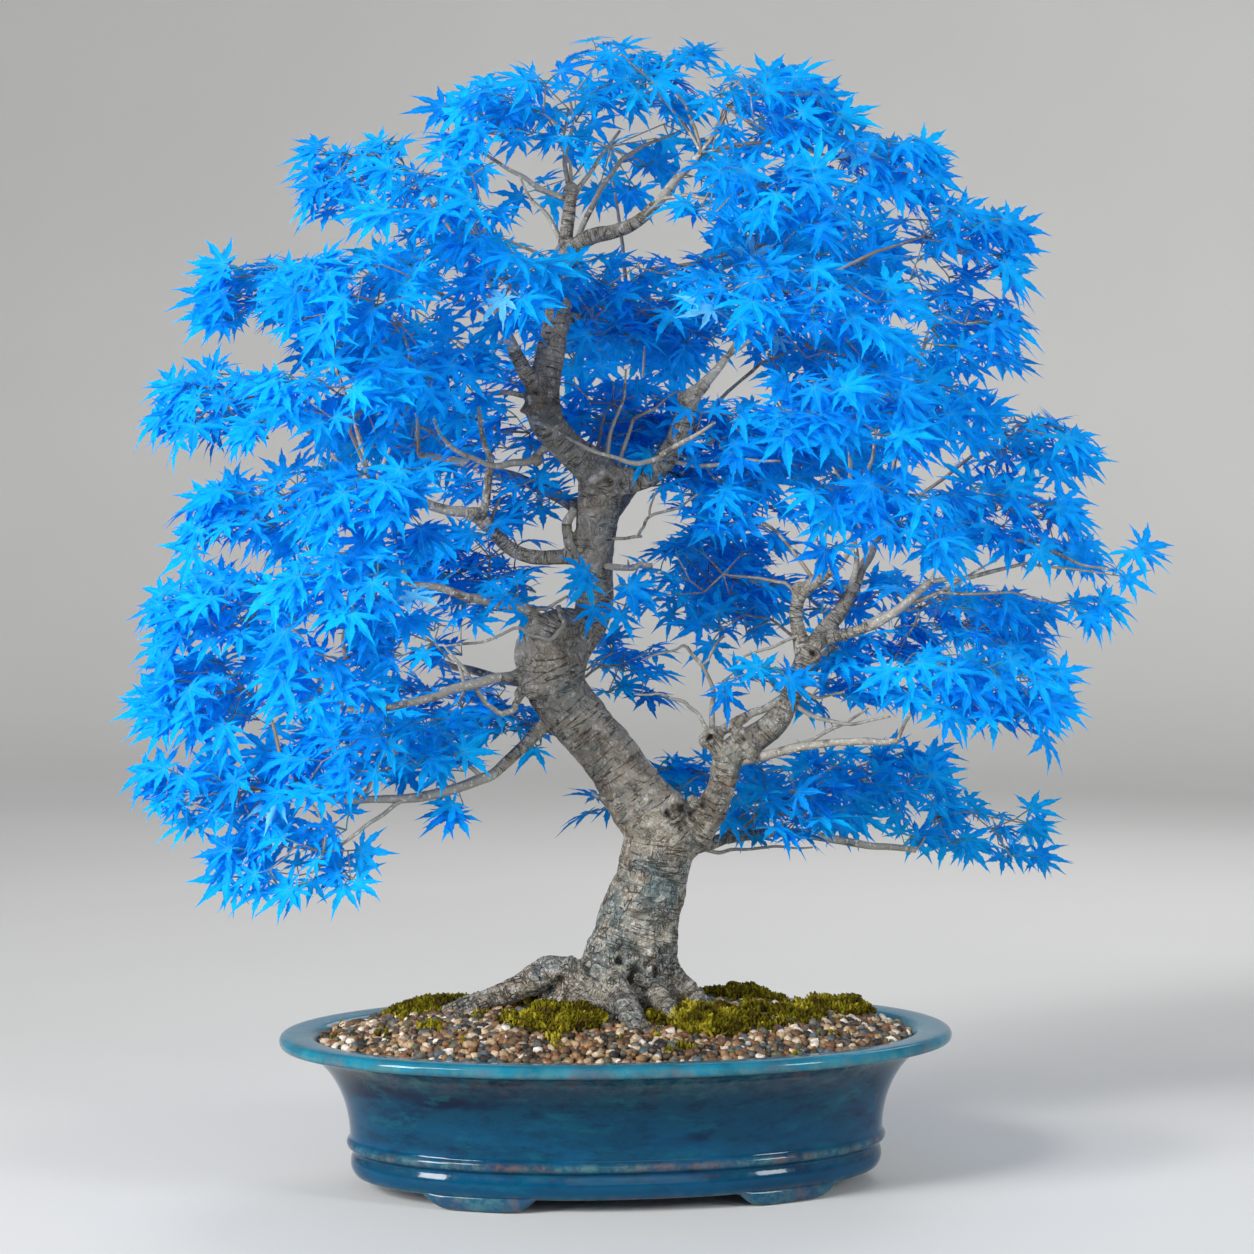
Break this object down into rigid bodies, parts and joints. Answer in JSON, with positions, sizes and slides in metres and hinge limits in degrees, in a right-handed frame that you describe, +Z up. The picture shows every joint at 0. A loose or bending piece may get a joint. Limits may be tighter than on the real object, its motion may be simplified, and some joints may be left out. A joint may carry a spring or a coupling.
{
  "type": "bonsai tree in a pot",
  "caption": "Japanese maple bonsai with layered sprays of bright blue lobed leaves, a forked grey trunk, moss and gravel, in an oval blue-green glazed pot on bracket feet.",
  "frame": {"origin": "on the surface the pot stands on, under the middle of the whole plant's bounding box", "axes": "+Z up from the feet to the crown; X along the pot's long side, +X towards the fork's outer limb; -Y towards the tree's front; the tree is planted turned 8 degrees about Z"},
  "size_m": [0.5174, 0.3527, 0.5681],
  "materials": {
    "blue_glaze": "gloss",
    "bark": "matte",
    "leaf_blue": "satin",
    "moss": "matte",
    "gravel": "satin",
    "soil": "matte",
    "screen_plastic": "matte",
    "clip_wire": "satin"
  },
  "bodies": {
    "root": {"drain_screen_left": "screen_plastic", "drain_screen_right": "screen_plastic", "gravel": "gravel", "leaf_spray_crown": "leaf_blue", "leaf_spray_crown_back": "leaf_blue", "leaf_spray_crown_left": "leaf_blue", "leaf_spray_crown_right": "leaf_blue", "leaf_spray_eighth_left": "leaf_blue", "leaf_spray_fifth_left": "leaf_blue", "leaf_spray_fifth_left_front": "leaf_blue", "leaf_spray_fifth_right": "leaf_blue", "leaf_spray_fifth_right_front": "leaf_blue", "leaf_spray_fourth_left_back": "leaf_blue", "leaf_spray_fourth_left_front": "leaf_blue", "leaf_spray_fourth_left_middle": "leaf_blue", "leaf_spray_fourth_left_tip": "leaf_blue", "leaf_spray_fourth_right_back": "leaf_blue", "leaf_spray_fourth_right_front": "leaf_blue", "leaf_spray_fourth_right_middle": "leaf_blue", "leaf_spray_fourth_right_tip": "leaf_blue", "leaf_spray_lone_leaf": "leaf_blue", "leaf_spray_low_left": "leaf_blue", "leaf_spray_low_right": "leaf_blue", "leaf_spray_low_right_tip": "leaf_blue", "leaf_spray_seventh_left": "leaf_blue", "leaf_spray_seventh_left_middle": "leaf_blue", "leaf_spray_seventh_right": "leaf_blue", "leaf_spray_sixth_left": "leaf_blue", "leaf_spray_sixth_left_front": "leaf_blue", "leaf_spray_sixth_middle": "leaf_blue", "leaf_spray_sixth_right": "leaf_blue", "leaf_spray_third_back": "leaf_blue", "leaf_spray_third_left_back": "leaf_blue", "leaf_spray_third_left_front": "leaf_blue", "leaf_spray_third_left_tip": "leaf_blue", "leaf_spray_third_middle_front": "leaf_blue", "leaf_spray_third_right_back": "leaf_blue", "leaf_spray_third_right_front": "leaf_blue", "leaf_spray_third_right_tip": "leaf_blue", "leaf_spray_tuft_behind": "leaf_blue", "leaf_spray_tuft_front": "leaf_blue", "leaf_spray_upper_left_back": "leaf_blue", "leaf_spray_upper_left_front": "leaf_blue", "leaf_spray_upper_left_tip": "leaf_blue", "leaf_spray_upper_right_back": "leaf_blue", "leaf_spray_upper_right_far": "leaf_blue", "leaf_spray_upper_right_front": "leaf_blue", "leaf_spray_upper_right_tip": "leaf_blue", "moss_back_right": "moss", "moss_front_left": "moss", "moss_front_right": "moss", "moss_left": "moss", "moss_right": "moss", "moss_small": "moss", "pot": "blue_glaze", "screen_clip_left": "clip_wire", "screen_clip_right": "clip_wire", "soil": "soil", "trunk_and_branches": "bark"}
  },
  "joints": []
}
